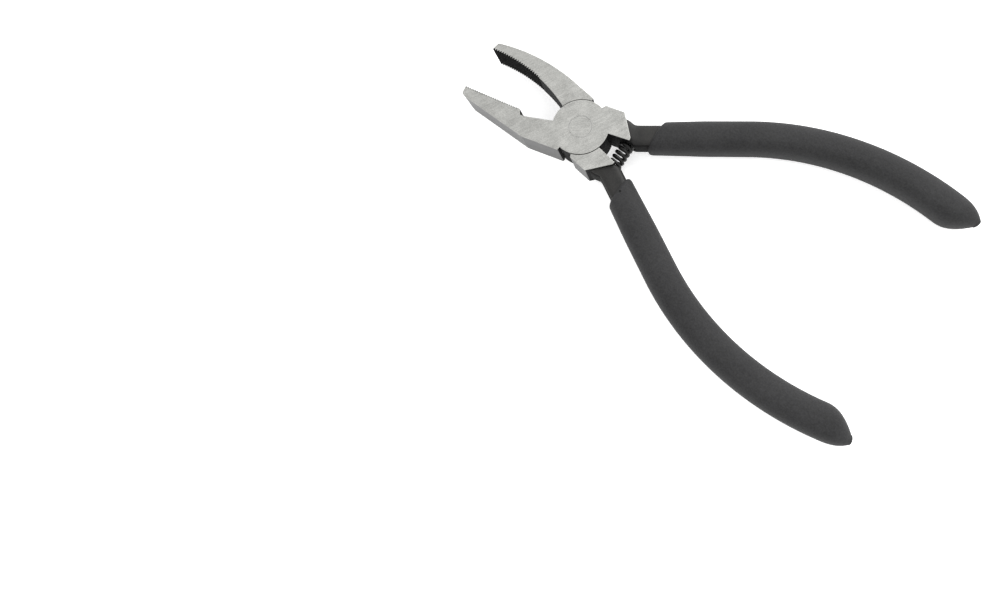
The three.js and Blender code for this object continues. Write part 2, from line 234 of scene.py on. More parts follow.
def make_grinding_marks():
    tree, given, out = new_group("grinding_marks", {"Width": 0.12, "Turn": 0.0}, ["Marks"])
    turn = {"Vector": piece_place(tree), "Angle": given["Turn"]}
    turned_place = node(tree, "ShaderNodeVectorRotate", turn, rotation_type="Z_AXIS").outputs[0]
    stretch = {"Vector": turned_place, "Scale": MARK_STRETCH}
    stretched = node(tree, "ShaderNodeMapping", stretch).outputs[0]
    tree.links.new(noise_mask(tree, stretched, given["Width"], 2.0), out["Marks"])
    return tree


EFFECTS["marks"] = make_grinding_marks()
print("grinding marks:", len(EFFECTS["marks"].nodes), "nodes")

# %% [markdown]
# ### Worn edges
# Handling and the grinding belt rub the edges bright. Comparing the true surface direction with one
# that is smoothed over a small radius finds the edges, and grain breaks the wear up.

# %% Make the worn edges
FLAT_AGREEMENT = 0.995
EDGE_AGREEMENT = 0.93


def make_worn_edges():
    tree, given, out = new_group("worn_edges", {"Radius": 0.2, "Patch Size": 1.5}, ["Wear"])
    radius = maths(tree, "MULTIPLY", given["Radius"], MM)
    softened = node(tree, "ShaderNodeBevel", {"Radius": radius}, samples=6).outputs[0]
    true = node(tree, "ShaderNodeNewGeometry").outputs["Normal"]
    both = {0: softened, 1: true}
    agree = node(tree, "ShaderNodeVectorMath", both, operation="DOT_PRODUCT").outputs["Value"]
    limits = {"Value": agree, "From Min": FLAT_AGREEMENT, "From Max": EDGE_AGREEMENT}
    edge = node(tree, "ShaderNodeMapRange", limits).outputs[0]
    broken = noise_mask(tree, piece_place(tree), given["Patch Size"], 4.0, PATCH_CONTRAST)
    tree.links.new(maths(tree, "MULTIPLY", edge, broken), out["Wear"])
    return tree


EFFECTS["wear"] = make_worn_edges()
print("worn edges:", len(EFFECTS["wear"].nodes), "nodes")

# %% [markdown]
# ### A material's beginning and end
# The shared effects are placed in each material as node groups with that finish's own sizes. The shader
# itself stays in the material, where its plain numbers are set straight on its sockets.

# %% Place an effect, start a material and finish it
def effect(tree, name, **sizes):
    made = node(tree, "ShaderNodeGroup", node_tree=EFFECTS[name])
    for label, value in sizes.items():
        made.inputs[label.replace("_", " ").title()].default_value = value
    return made.outputs


def new_material(name):
    material = bpy.data.materials.new(name)
    material.use_nodes = True
    tree = material.node_tree
    return material, tree, tree.nodes["Principled BSDF"]


def dress(tree, shader, colour, roughness, height, depth, metallic=None):
    """Links the surface's colour, roughness and relief; depth is the relief in mm."""
    tree.links.new(colour, shader.inputs["Base Color"])
    tree.links.new(roughness, shader.inputs["Roughness"])
    bump = node(tree, "ShaderNodeBump", {"Height": height, "Distance": depth * MM, "Strength": 1.0})
    tree.links.new(bump.outputs[0], shader.inputs["Normal"])
    if metallic is not None:
        tree.links.new(metallic, shader.inputs["Metallic"])


# %% [markdown]
# ### Ground steel, lit and with painted shade
# The flat faces are ground to a pale satin. The outer walls are the same ground steel with darker
# values:
# painted shade, standing in for the weaker light on those walls. They are one finish with two sets of
# values.

# %% Make the ground finishes
BRIGHT_STEEL = (0.72, 0.72, 0.71, 1)
EDGE_SHINE = 0.5
GRINDING_DEPTH = 0.006


def ground_finish(name, dark, light, rough, turn):
    material, tree, shader = new_material(name)
    grain = effect(tree, "grain", size=0.28, patch_size=5.0)
    marks = effect(tree, "marks", width=0.16, turn=turn)["Marks"]
    wear = effect(tree, "wear", radius=0.15, patch_size=3.0)["Wear"]
    tone = add_up(tree, (grain["Grain"], 0.45), (marks, 0.3), (grain["Patches"], 0.25))
    base = blend_colours(tree, tone, dark, light)
    rubbed = maths(tree, "MULTIPLY", wear, EDGE_SHINE)
    base = blend_colours(tree, rubbed, base, BRIGHT_STEEL)
    height = add_up(tree, (grain["Grain"], 0.5), (marks, 0.5))
    dress(tree, shader, base, spread(tree, tone, *rough), height, GRINDING_DEPTH)
    shader.inputs["Metallic"].default_value = 1.0
    return material


SATIN = {"dark": (0.24, 0.24, 0.228, 1), "light": (0.60, 0.60, 0.575, 1), "rough": (0.36, 0.5)}
PAINTED_SHADE_OUTER = {"dark": (0.08, 0.08, 0.08, 1), "light": (0.19, 0.19, 0.19, 1), "rough": (0.42, 0.55)}

ground_steel = ground_finish("satin_ground_steel", **SATIN, turn=0.5)
# The outer walls' copy is darker: painted shade for the weaker light on those walls.
painted_shade_outer_steel = ground_finish("painted_shade_outer_wall_steel", **PAINTED_SHADE_OUTER, turn=1.2)
rivet_steel = ground_finish("ground_rivet_steel", **SATIN, turn=1.0)
print("ground finishes:", ground_steel.name, painted_shade_outer_steel.name, rivet_steel.name)

# %% [markdown]
# ### Black forging steel
# Forging scale and a black oxide bath leave the rest nearly black, with a slightly uneven satin. The
# upright walls get a darker copy with less shine, which is painted shade for the dimmer light on them,
# and the spring's drawn wire is the smoothest.

# %% Make the black finishes
BARE_STEEL = (0.28, 0.28, 0.27, 1)


def black_finish(name, dark, light, rough, size, depth, shown_wear, shine):
    material, tree, shader = new_material(name)
    grain = effect(tree, "grain", size=size, patch_size=3.5)
    wear = effect(tree, "wear", radius=0.18, patch_size=1.2)["Wear"]
    worn = maths(tree, "MULTIPLY", wear, shown_wear)
    tone = add_up(tree, (grain["Grain"], 0.5), (grain["Patches"], 0.5))
    base = blend_colours(tree, tone, dark, light)
    base = blend_colours(tree, worn, base, BARE_STEEL)
    dress(tree, shader, base, spread(tree, tone, *rough), grain["Grain"], depth, metallic=worn)
    shader.inputs["Specular IOR Level"].default_value = shine
    return material


black_steel = black_finish(
    "black_forging_steel",
    dark=(0.005, 0.005, 0.005, 1),
    light=(0.025, 0.024, 0.022, 1),
    rough=(0.45, 0.62),
    size=0.35,
    depth=0.02,
    shown_wear=0.3,
    shine=0.35,
)
# A darker, less shiny copy of the black steel for the upright walls: painted shade.
painted_shade_upright_steel = black_finish(
    "painted_shade_upright_wall_steel",
    dark=(0.001, 0.001, 0.001, 1),
    light=(0.006, 0.006, 0.006, 1),
    rough=(0.6, 0.8),
    size=0.35,
    depth=0.02,
    shown_wear=0.12,
    shine=0.14,
)
spring_steel = black_finish(
    "black_spring_wire",
    dark=(0.004, 0.004, 0.004, 1),
    light=(0.016, 0.016, 0.015, 1),
    rough=(0.3, 0.45),
    size=0.2,
    depth=0.006,
    shown_wear=0.2,
    shine=0.3,
)
print("black finishes:", black_steel.name, painted_shade_upright_steel.name, spring_steel.name)

# %% [markdown]
# ### Dipped coating
# The grips are a matt plastic with a fine sandy grain and slow changes of tone along their length.

# %% Make the dipped coating
COATING_DARK = (0.008, 0.008, 0.0085, 1)
COATING_LIGHT = (0.041, 0.041, 0.042, 1)
COATING_ROUGH = (0.6, 0.78)
COATING_SHINE = 0.3
SAND_DEPTH = 0.03


def coating_finish():
    material, tree, shader = new_material("charcoal_dipped_coating")
    grain = effect(tree, "grain", size=0.42, patch_size=14.0)
    specks = effect(tree, "grain", size=0.9, patch_size=3.0)
    tone = add_up(tree, (grain["Grain"], 0.45), (specks["Grain"], 0.25), (grain["Patches"], 0.3))
    base = blend_colours(tree, tone, COATING_DARK, COATING_LIGHT)
    height = add_up(tree, (grain["Grain"], 1.0), (specks["Grain"], 0.6))
    dress(tree, shader, base, spread(tree, tone, *COATING_ROUGH), height, SAND_DEPTH)
    shader.inputs["Specular IOR Level"].default_value = COATING_SHINE
    return material


dipped_coating = coating_finish()
print("coating:", dipped_coating.name)

# %% [markdown]
# ### The table's surface
# A light table: a pale matt sheet that glows a little from below, which washes the shadows out.

# %% Make the table's surface
TABLE_TONES = ((0.90, 0.90, 0.90, 1), (0.92, 0.92, 0.92, 1))
TABLE_GLOW = 0.6
TABLE_ROUGH = (0.85, 0.95)
TABLE_RELIEF = 0.002


def table_finish():
    material, tree, shader = new_material("pale_table_sheet")
    grain = effect(tree, "grain", size=1.5, patch_size=60.0)
    base = blend_colours(tree, grain["Patches"], *TABLE_TONES)
    roughness = spread(tree, grain["Grain"], *TABLE_ROUGH)
    dress(tree, shader, base, roughness, grain["Grain"], TABLE_RELIEF)
    shader.inputs["Emission Color"].default_value = WHITE
    shader.inputs["Emission Strength"].default_value = TABLE_GLOW
    return material


pale_table = table_finish()
print("materials:", len(bpy.data.materials))

# %% [markdown]
# ## Shapes from rings
# Almost everything here is a skin over rings of points: a plate is its outline repeated at a few
# heights, and a handle is its section repeated along a line. One function that skins rings therefore
# makes nearly every piece. Working in millimetres keeps the numbers friendly to Blender's boolean
# solver, and the finished mesh is scaled to metres once, at the end.

# %% Skin a list of rings
def skin(rings):
    mesh = bmesh.new()
    loops = [[mesh.verts.new(point) for point in ring] for ring in rings]
    count = len(loops[0])
    for near, far in zip(loops, loops[1:]):
        for i in range(count):
            j = (i + 1) % count
            mesh.faces.new((near[i], near[j], far[j], far[i]))
    mesh.faces.new(list(reversed(loops[0])))
    mesh.faces.new(loops[-1])
    bmesh.ops.recalc_face_normals(mesh, faces=mesh.faces)
    return mesh


def to_object(mesh, name):
    data = bpy.data.meshes.new(name)
    mesh.to_mesh(data)
    mesh.free()
    made = bpy.data.objects.new(name, data)
    bpy.context.scene.collection.objects.link(made)
    return made


# %% Go round a circle, and turn a profile about the rivet's axis
def circle(steps):
    return [2 * math.pi * i / steps for i in range(steps)]


def turned(profile, steps=160):
    around = circle(steps)
    return skin([[(r * math.cos(a), r * math.sin(a), z) for a in around] for r, z in profile])


# %% [markdown]
# ## Cutting and joining
# The halves are made the way a toolmaker would describe them: a plate, plus a disc, minus a recess.
# Blender's exact boolean solver does that. A cutter reaches a little past what it cuts, and it is
# thrown away as soon as it has been used.

# %% Join or cut with a second solid
CUTTER_REACH = 1


def combine(target, tool, operation):
    change = target.modifiers.new("combine", "BOOLEAN")
    change.operation = operation
    change.solver = "EXACT"
    change.object = tool
    bpy.context.view_layer.update()
    changed = target.evaluated_get(bpy.context.evaluated_depsgraph_get())
    result = bpy.data.meshes.new_from_object(changed)
    target.modifiers.clear()
    target.data = result
    bpy.data.objects.remove(tool)


def join(target, mesh):
    combine(target, to_object(mesh, "tool"), "UNION")


def cut(target, mesh):
    combine(target, to_object(mesh, "tool"), "DIFFERENCE")


# %% [markdown]
# ## Outlines
# An outline is a short list of corners. Real forgings have no knife-sharp corners, so each corner is
# rounded before the plate is made, except where the disc will cover it. The plate's rims are rounded
# too: rings close to the top and bottom follow a quarter circle inwards. That thin rounded rim is what
# catches the light along every edge.

# %% Round the corners of an outline
SHARP = 0
NO_TURN = math.radians(8)
ROUNDING_STEP = 0.12
SIDE_SHARE = 0.45


def rounded(corners):
    """Each corner is x, y and its rounding's radius; a rounding takes a share of a side at most."""
    points = []
    for i, corner in enumerate(corners):
        here, own = Vector(corner[:2]), corner[2]
        before = Vector(corners[i - 1][:2]) - here
        after = Vector(corners[(i + 1) % len(corners)][:2]) - here
        turn = math.pi - before.angle(after)
        if own == SHARP or turn < NO_TURN:
            points.append(here)
            continue
        longest = SIDE_SHARE * min(before.length, after.length)
        reach = min(own * math.tan(turn / 2), longest)
        own = reach / math.tan(turn / 2)
        middle = before.normalized() + after.normalized()
        centre = here + middle.normalized() * (own / math.cos(turn / 2))
        start = here + before.normalized() * reach - centre
        side = 1 if before.cross(after) < 0 else -1
        steps = max(2, round(own * turn / ROUNDING_STEP))
        for k in range(steps + 1):
            spin = Matrix.Rotation(side * turn * k / steps, 2)
            points.append(centre + spin @ start)
    return points


# %% Make a plate with rounded rims
rivet_low, rivet_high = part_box("pivot_rivet")
HEAD_THICKNESS = round((rivet_high.z - rivet_low.z) / MM, 3)
MID_HEIGHT = HEAD_THICKNESS / 2
RIM = 0.13


def inset(points, distance):
    moved = []
    for i, point in enumerate(points):
        ahead = (points[(i + 1) % len(points)] - point).normalized()
        along = ahead + (point - points[i - 1]).normalized()
        inward = Vector((-along.y, along.x)).normalized()
        moved.append(point + inward * distance)
    return moved


def plate(points, steps=4):
    """Points run anticlockwise."""
    rings = []
    for k in range(steps + 1):
        lean = math.pi / 2 * k / steps
        ring = inset(points, RIM * (1 - math.sin(lean)))
        rings.append([(p.x, p.y, RIM * (1 - math.cos(lean))) for p in ring])
    rings += [[(x, y, HEAD_THICKNESS - z) for x, y, z in ring] for ring in reversed(rings)]
    return skin(rings)


print("head", HEAD_THICKNESS, "mm thick")

# %% [markdown]
# ## The halves' outlines
# Both halves are drawn with the tool closed: the parting line is y = 0, the jaw lies below it towards
# -X and the handle above it towards +X. The front half has the straight jaw and the back half the
# curved one, and everything behind the jaws is the same for both.

# %% Name the joint's and the jaws' sizes
JOINT_RADIUS = 8.5
RECESS_RADIUS = 8.65
LAP_GAP = 0.1
REST_ANGLE = math.radians(10.5)
JAW_REACH = 38.4
JAW_DEPTH = 8.95
TIP_WIDTH = 2.6
TIP_BEVEL = 1.8
TIP_Y = -0.05
TEETH_LENGTH = 18.9
TEETH_GAP = 1.1
THROAT_ANGLE = math.radians(187.5)
HEEL_ANGLE = math.radians(248.5)
HEEL_LEAN = 0.3
print("jaws", JAW_REACH, "mm long from the rivet")

# %% [markdown]
# ### Arcs
# The curved jaw is two arcs, one along its teeth and one along its back. An arc is easiest to draw from
# its ends and how far its middle stands off the straight line between them.

# %% Draw an arc
def polar(radius, angle):
    return Vector((radius * math.cos(angle), radius * math.sin(angle)))


def bow(start, end, height, steps):
    """Points from start to end on an arc that bows to the right of its chord."""
    chord = end - start
    side = Vector((chord.y, -chord.x)).normalized()
    radius = (chord.length_squared / 4 + height**2) / (2 * height)
    centre = (start + end) / 2 + side * (height - radius)
    reach = math.asin(chord.length / 2 / radius)
    turns = [reach * (2 * k / steps - 1) for k in range(steps + 1)]
    ahead = chord.normalized()
    return [centre + ahead * radius * math.sin(t) + side * radius * math.cos(t) for t in turns]


# %% [markdown]
# ### The straight jaw
# Its toothed edge ends in a small stepped notch, behind which the gap opens to the throat at the disc.
# Its back runs level from the heel and then slopes to a short bevel at the tip.

# %% Draw the straight jaw
TIP = Vector((-JAW_REACH, TIP_Y))
THROAT = polar(JOINT_RADIUS, THROAT_ANGLE)
HEEL = polar(JOINT_RADIUS, HEEL_ANGLE)
TEETH_END = Vector((-JAW_REACH + TEETH_LENGTH, -TEETH_GAP))
OUTER_TIP = Vector((-JAW_REACH + TIP_BEVEL, TIP_Y - TIP_WIDTH - TIP_BEVEL / 2))
HEEL_CORNERS = [(0, 0, SHARP), (*HEEL, SHARP), (HEEL.x - HEEL_LEAN, -JAW_DEPTH, 0.2)]
TIP_CORNER = (*TIP, 0.15)
BLUNT_CORNER = (-JAW_REACH, TIP_Y - TIP_WIDTH, 0.2)
NOTCH_RUN = 0.9
NOTCH_FLOOR = 1.3
NOTCH_DEPTH = 2.8
SLOPE_START = 15.3


def anticlockwise(points):
    area = sum(a.x * b.y - b.x * a.y for a, b in zip(points, points[1:] + points[:1]))
    return points if area > 0 else points[::-1]


def straight_jaw():
    notch_foot = TEETH_END.x + NOTCH_RUN
    corners = [
        TIP_CORNER,
        (*TEETH_END, 0.15),
        (notch_foot, -NOTCH_DEPTH, 0.25),
        (notch_foot + NOTCH_FLOOR, -NOTCH_DEPTH, 2.5),
        (*THROAT, SHARP),
        *HEEL_CORNERS,
        (-SLOPE_START, -JAW_DEPTH, 1.2),
        (*OUTER_TIP, 0.5),
        BLUNT_CORNER,
    ]
    return anticlockwise(rounded(corners))


print("straight jaw:", len(straight_jaw()), "points")

# %% [markdown]
# ### The curved jaw
# It meets the straight jaw only at the tip. Both its edges are arcs that bow away from the gap.

# %% Draw the curved jaw
INNER_BOW = 2.2
OUTER_BOW = 1.55
OUTER_HEEL = Vector((-10, -JAW_DEPTH))


def curved_inner_edge():
    return bow(TIP, THROAT, INNER_BOW, 90)


def curved_jaw():
    inner = [(*p, SHARP) for p in curved_inner_edge()[1:]]
    outer = [(*p, SHARP) for p in bow(OUTER_TIP, OUTER_HEEL, OUTER_BOW, 60)[1:]]
    corners = [
        TIP_CORNER,
        *inner,
        *HEEL_CORNERS,
        *outer[::-1],
        (*OUTER_TIP, 0.4),
        BLUNT_CORNER,
    ]
    return anticlockwise(rounded(corners))


print("curved jaw:", len(curved_jaw()), "points")

# %% [markdown]
# ### The shoulder
# Behind the disc each half has a thick shoulder. It carries the spring on its inner side, and its outer
# rear corner is cut off at a slant.

# %% Draw the shoulder
SHOULDER_DEPTH = 8.7
SHOULDER_REAR = 15.1
SPRING_SIDE = 1.1
REAR_FLAT_END = 2
BEVEL_START = 10.4
STEP_RUN = 0.75
INNER_ANGLE = math.radians(6)
STEP_ANGLE = math.radians(64.5)


def shoulder():
    step = polar(JOINT_RADIUS, STEP_ANGLE)
    corners = [
        (0, 0, SHARP),
        (*polar(JOINT_RADIUS, INNER_ANGLE), SHARP),
        (SHOULDER_REAR, SPRING_SIDE, 0.2),
        (SHOULDER_REAR, REAR_FLAT_END, 0.5),
        (BEVEL_START, SHOULDER_DEPTH, 0.4),
        (step.x + STEP_RUN, SHOULDER_DEPTH, 0.2),
        (*step, SHARP),
    ]
    return anticlockwise(rounded(corners))


print("shoulder:", len(shoulder()), "points")

# %% [markdown]
# ## Teeth
# The teeth are cut across the inner edge of each jaw like the threads of a file. A single zigzag
# cutter does the whole row: its lower side dips into the jaw once per tooth and its upper side stays
# in the open air. Cutting after the rims are rounded leaves the teeth crisp, as a milling cutter does.

# %% Make the zigzag cutter along an edge
TOOTH_PITCH = 0.8
TOOTH_DEPTH = 0.6
TOOTH_CREST = -0.04


def tooth_cutter(edge):
    last = TEETH_LENGTH - TOOTH_PITCH / 2
    spots, travelled, wanted, k = [], 0.0, TOOTH_PITCH / 4, 0
    for a, b in zip(edge, edge[1:]):
        while travelled + (b - a).length >= wanted and wanted < last:
            along = (b - a).normalized()
            into = Vector((along.y, -along.x))
            depth = TOOTH_DEPTH if k % 2 else TOOTH_CREST
            spots.append((a + along * (wanted - travelled) + into * depth, into))
            wanted += TOOTH_PITCH / 2
            k += 1
        travelled += (b - a).length
    outside = [point - into * (TOOTH_DEPTH + CUTTER_REACH) for point, into in spots]
    outline = anticlockwise([point for point, _ in spots] + outside[::-1])
    heights = (-CUTTER_REACH, HEAD_THICKNESS + CUTTER_REACH)
    return skin([[(p.x, p.y, z) for p in outline] for z in heights])


print("teeth", TOOTH_PITCH, "mm apart and", TOOTH_DEPTH, "mm deep")

# %% [markdown]
# ## The handle's line
# Each handle leaves the neck straight, then bends inwards on one large arc to fill the palm. The shank
# and the grip share this line, so it is worked out once: a point and a direction for any distance.

# %% Work out the handle's line
HANDLE_REACH = 111
NECK = Vector((SHOULDER_REAR, 3.7))
HEADING = math.radians(20.3)
BEND = math.radians(46.9)
BEND_RADIUS = 81


def straight_length():
    """How far it runs straight, so that it ends at the handle's reach from the rivet."""
    end = HEADING - BEND
    bend = Vector((math.sin(HEADING) - math.sin(end), math.cos(end) - math.cos(HEADING)))
    start = NECK + bend * BEND_RADIUS
    along = start.dot(polar(1, HEADING))
    return math.sqrt(along**2 - start.length_squared + HANDLE_REACH**2) - along


STRAIGHT = straight_length()
SPINE_LENGTH = STRAIGHT + BEND * BEND_RADIUS


def spine(distance):
    """The point at a distance from the neck, and the direction there."""
    if distance <= STRAIGHT:
        return NECK + polar(distance, HEADING), HEADING
    turn = min((distance - STRAIGHT) / BEND_RADIUS, BEND)
    centre = NECK + polar(STRAIGHT, HEADING) + polar(BEND_RADIUS, HEADING - math.pi / 2)
    point = centre + polar(BEND_RADIUS, HEADING - turn + math.pi / 2)
    beyond = max(0, distance - SPINE_LENGTH)
    return point + polar(beyond, HEADING - turn), HEADING - turn


def section(distance, half_width, half_height, squareness, count, slant=0.0, shift=0.0):
    """A rounded rectangle across the line; a squareness of 2 is an ellipse."""
    point, heading = spine(distance)
    point = point + polar(shift, heading + math.pi / 2)
    across = polar(1, heading + math.pi / 2 + slant)
    ring = []
    for i in range(count):
        angle = 2 * math.pi * (i + 0.5) / count
        c, s = math.cos(angle), math.sin(angle)
        wide = half_width / math.cos(slant)
        x = wide * math.copysign(abs(c) ** (2 / squareness), c)
        z = half_height * math.copysign(abs(s) ** (2 / squareness), s)
        ring.append((point.x + across.x * x, point.y + across.y * x, MID_HEIGHT + z))
    return ring


print("handle line", round(SPINE_LENGTH, 1), "mm long")

# %% [markdown]
# ## The shank
# Behind the shoulder the forging narrows to a shank with flat sides and rounded corners. Most of it is
# hidden in the grip. Only the neck needs care: there the section grows smoothly into the shoulder, and
# it is lifted a little where it would otherwise reach past the side that faces the other half.

# %% Make the shank
SHANK_WIDTH = 6.7
SHANK_HEIGHT = 7.2
SHANK_SQUARENESS = 4.5
SHANK_BEGIN = -5.5
NECK_STOPS = [SHANK_BEGIN + 0.5 * k for k in range(24)]
TANG_STOPS = [8, 12, 16]
SHANK_SIDES = 48
SWELL_RUN = 7
SWELL_HEIGHT = 0.8
NECK_WIDENING = 0.3
WIDE_UNTIL, WIDENING_RUN = 2, 4
LIFT_UNTIL, LIFT_RUN = 1, 2.5
INNER_LIMIT = SPRING_SIDE + 0.05


def smooth(t):
    t = min(1.0, max(0.0, t))
    return t * t * (3 - 2 * t)


def shank():
    rings = []
    for at in NECK_STOPS + TANG_STOPS:
        swell = 1 - smooth((at - SHANK_BEGIN) / SWELL_RUN)
        widening = NECK_WIDENING * smooth((WIDE_UNTIL - at) / WIDENING_RUN)
        half_width = (SHANK_WIDTH + widening) / 2
        half_height = SHANK_HEIGHT / 2 + SWELL_HEIGHT * swell
        inner = NECK.y + min(at, 0) * math.sin(HEADING) - half_width * math.cos(HEADING)
        missing = max(0, INNER_LIMIT - inner) / math.cos(HEADING)
        lift = missing * smooth((LIFT_UNTIL - at) / LIFT_RUN)
        ring = section(at, half_width, half_height, SHANK_SQUARENESS, SHANK_SIDES, shift=lift)
        rings.append(ring)
    return skin(rings)


print("shank", SHANK_WIDTH, "by", SHANK_HEIGHT, "mm")

# %% [markdown]
# ## Two halves in a lap joint
# At the joint each half is only half as thick: the front half's disc lies on top and the back half's
# below. Each half is also hollowed round the other's disc, with a hair of clearance, which is the thin
# dark line seen on the finished tool. The spring sits in a blind hole drilled into each shoulder.

# %% Draw the disc, its recess and the rivet's hole
RECESS_CHAMFER = 0.12
RIVET_RADIUS = 2.9
RIVET_HEAD = 3.4
RIVET_HEAD_DEPTH = 0.9
RIVET_GAP = 0.03


def rivet_profile(gap, overrun):
    wide, narrow = RIVET_HEAD + gap, RIVET_RADIUS + gap
    top = HEAD_THICKNESS
    return [
        (wide, -overrun),
        (wide, 0.0),
        (narrow, RIVET_HEAD_DEPTH),
        (narrow, top - RIVET_HEAD_DEPTH),
        (wide, top),
        (wide, top + overrun),
    ]


def upside_down(profile):
    return [(r, HEAD_THICKNESS - z) for r, z in profile][::-1]


def disc_profile(on_top):
    low = []
    for lean in np.linspace(0, math.pi / 2, 5):
        low.append((JOINT_RADIUS - RIM * (1 - math.sin(lean)), RIM * (1 - math.cos(lean))))
    low.append((JOINT_RADIUS, MID_HEIGHT - LAP_GAP / 2))
    return upside_down(low) if on_top else low


def recess_profile(on_top):
    """The room that a half leaves for the other half's disc."""
    low = [
        (RECESS_RADIUS + RECESS_CHAMFER + CUTTER_REACH, -CUTTER_REACH),
        (RECESS_RADIUS, RECESS_CHAMFER),
        (RECESS_RADIUS, MID_HEIGHT + LAP_GAP / 2),
    ]
    return upside_down(low) if on_top else low


print("recess", round(RECESS_RADIUS - JOINT_RADIUS, 3), "mm wider than the disc")

# %% [markdown]
# ### The spring's seat
# The spring's line is square to the gap when the tool rests open, so the hole is drilled at that angle.

# %% Make the drill for the spring's seat
SPRING_X = 13.7
POCKET_RADIUS = 2.55
POCKET_DEPTH = 3.2
POCKET_SIDES = 64
SHOULDER_FACE = SPRING_X * math.sin(REST_ANGLE) + SPRING_SIDE * math.cos(REST_ANGLE)
POCKET_FLOOR = SHOULDER_FACE + POCKET_DEPTH


def spring_place(radius, angle, along):
    """A point round the spring's line; along is its distance from the tool's middle."""
    x = SPRING_X + radius * math.cos(angle)
    return Vector((x, along, MID_HEIGHT + radius * math.sin(angle)))


def pocket():
    turn = Matrix.Rotation(-REST_ANGLE, 3, "Z")
    rings = []
    for along in (-CUTTER_REACH, POCKET_FLOOR):
        rings.append([turn @ spring_place(POCKET_RADIUS, a, along) for a in circle(POCKET_SIDES)])
    return skin(rings)


print("spring's seat", round(2 * POCKET_FLOOR, 2), "mm from floor to floor")

# %% [markdown]
# ### Building a half
# The order matters: the teeth are cut before the disc is there, and the disc goes back in after the
# other half's recess has been taken out. The rivet's hole comes last and goes through everything.

# %% Build the two halves, closed
def build_half(name, outline, edge, on_top):
    half = to_object(plate(outline), name)
    cut(half, tooth_cutter(edge))
    join(half, plate(shoulder()))
    join(half, shank())
    cut(half, pocket())
    cut(half, turned(recess_profile(not on_top)))
    join(half, turned(disc_profile(on_top)))
    cut(half, turned(rivet_profile(RIVET_GAP, CUTTER_REACH)))
    return half


front_half = build_half("front_half_forging", straight_jaw(), [TIP, TEETH_END], True)
back_half = build_half("back_half_forging", curved_jaw(), curved_inner_edge(), False)
for half in (front_half, back_half):
    print(half.name, len(half.data.polygons), "faces")

# %% [markdown]
# ## Ground steel and black steel
# The forging is blackened all over and then its flat faces and outer walls are ground bright. So the
# finish depends on which way a face looks and where it is, which is easy to say while the half still
# lies closed. Faces with slot 0 are ground, slot 1 is the black of the forging, slot 2 the outer walls,
# ground steel made darker as painted shade, and slot 3 the upright walls, black steel made darker and
# less shiny as painted shade.

# %% Mark the ground, black and painted-shade faces
GROUND, BLACK, PAINTED_SHADE_OUTER_WALL, PAINTED_SHADE_UPRIGHT = range(4)
GROUND_LEAN = 0.35
GROUND_REAR = SHOULDER_REAR + 0.5
BEVEL_SLOPE = 1.4
BEVEL_MARGIN = 0.3
JAW_WALL_FRONT, JAW_WALL_INNER, JAW_WALL_LEAN = -3, -2, -0.3
SHOULDER_WALL_SPAN = (4, 11)
SHOULDER_WALL_INNER, SHOULDER_WALL_LEAN = JOINT_RADIUS - 0.2, 0.5
UPRIGHT_LEAN = 0.5


def finish_of(place, normal):
    x, y, z = place
    flat = abs(normal.z) > GROUND_LEAN and (z < RIM or z > HEAD_THICKNESS - RIM)
    bevel_y = SHOULDER_DEPTH - BEVEL_SLOPE * (x - BEVEL_START) + BEVEL_MARGIN
    behind_bevel = x > BEVEL_START and y > bevel_y
    if flat and x < GROUND_REAR and not behind_bevel:
        return GROUND
    # Outer jaw and shoulder walls get ground steel darkened as painted shade.
    if x < JAW_WALL_FRONT and y < JAW_WALL_INNER and normal.y < JAW_WALL_LEAN:
        return PAINTED_SHADE_OUTER_WALL
    start, end = SHOULDER_WALL_SPAN
    if start < x < end and y > SHOULDER_WALL_INNER and normal.y > SHOULDER_WALL_LEAN:
        return PAINTED_SHADE_OUTER_WALL
    # Upright black faces take the painted-shade copy, and the rest is plain black steel.
    return PAINTED_SHADE_UPRIGHT if abs(normal.z) < UPRIGHT_LEAN else BLACK


def mark_finish(half):
    for finish in (ground_steel, black_steel, painted_shade_outer_steel, painted_shade_upright_steel):
        half.data.materials.append(finish)
    counts = [0, 0, 0, 0]
    for face in half.data.polygons:
        face.material_index = finish_of(face.center, face.normal)
        counts[face.material_index] += 1
    print(half.name, "ground, black, painted_shade_outer and painted_shade_upright faces:", counts)


mark_finish(front_half)
mark_finish(back_half)

# %% [markdown]
# ## Opening the tool to its rest
# Each half turns about the rivet by half of the rest opening. The back half is first mirrored, which
# turns its faces inside out, so they are flipped back.

# %% Lay a piece in its rest place
CREASE = math.radians(32)


def lay(piece, side):
    """side is 1 for the front half and -1 for its mirror image, the back half."""
    mirror = Matrix.Diagonal((1, side, 1, 1))
    piece.data.transform(Matrix.Scale(MM, 4) @ mirror @ Matrix.Rotation(REST_ANGLE, 4, "Z"))
    if side < 0:
        piece.data.flip_normals()
    piece.data.shade_smooth()
    piece.data.set_sharp_from_angle(angle=CREASE)
    weigh = piece.modifiers.new("weigh_normals", "WEIGHTED_NORMAL")
    weigh.keep_sharp = True


lay(front_half, 1)
lay(back_half, -1)
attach(front_half, "front_handle")
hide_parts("front_half")
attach(back_half, "back_handle")
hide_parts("back_half")
print("halves laid", round(math.degrees(2 * REST_ANGLE), 1), "degrees apart")

# %% [markdown]
# ## The rivet
# The rivet is a short steel pin whose two ends were swelled into countersinks and ground flush. Only a
# hairline ring shows on the finished tool.

# %% Make the rivet
RIVET_EDGE = 0.05
RIVET_SIDES = 96


def rivet():
    low = [
        (RIVET_HEAD - RIVET_EDGE, 0.0),
        (RIVET_HEAD, RIVET_EDGE),
        (RIVET_RADIUS, RIVET_HEAD_DEPTH),
    ]
    return turned(low + upside_down(low), RIVET_SIDES)


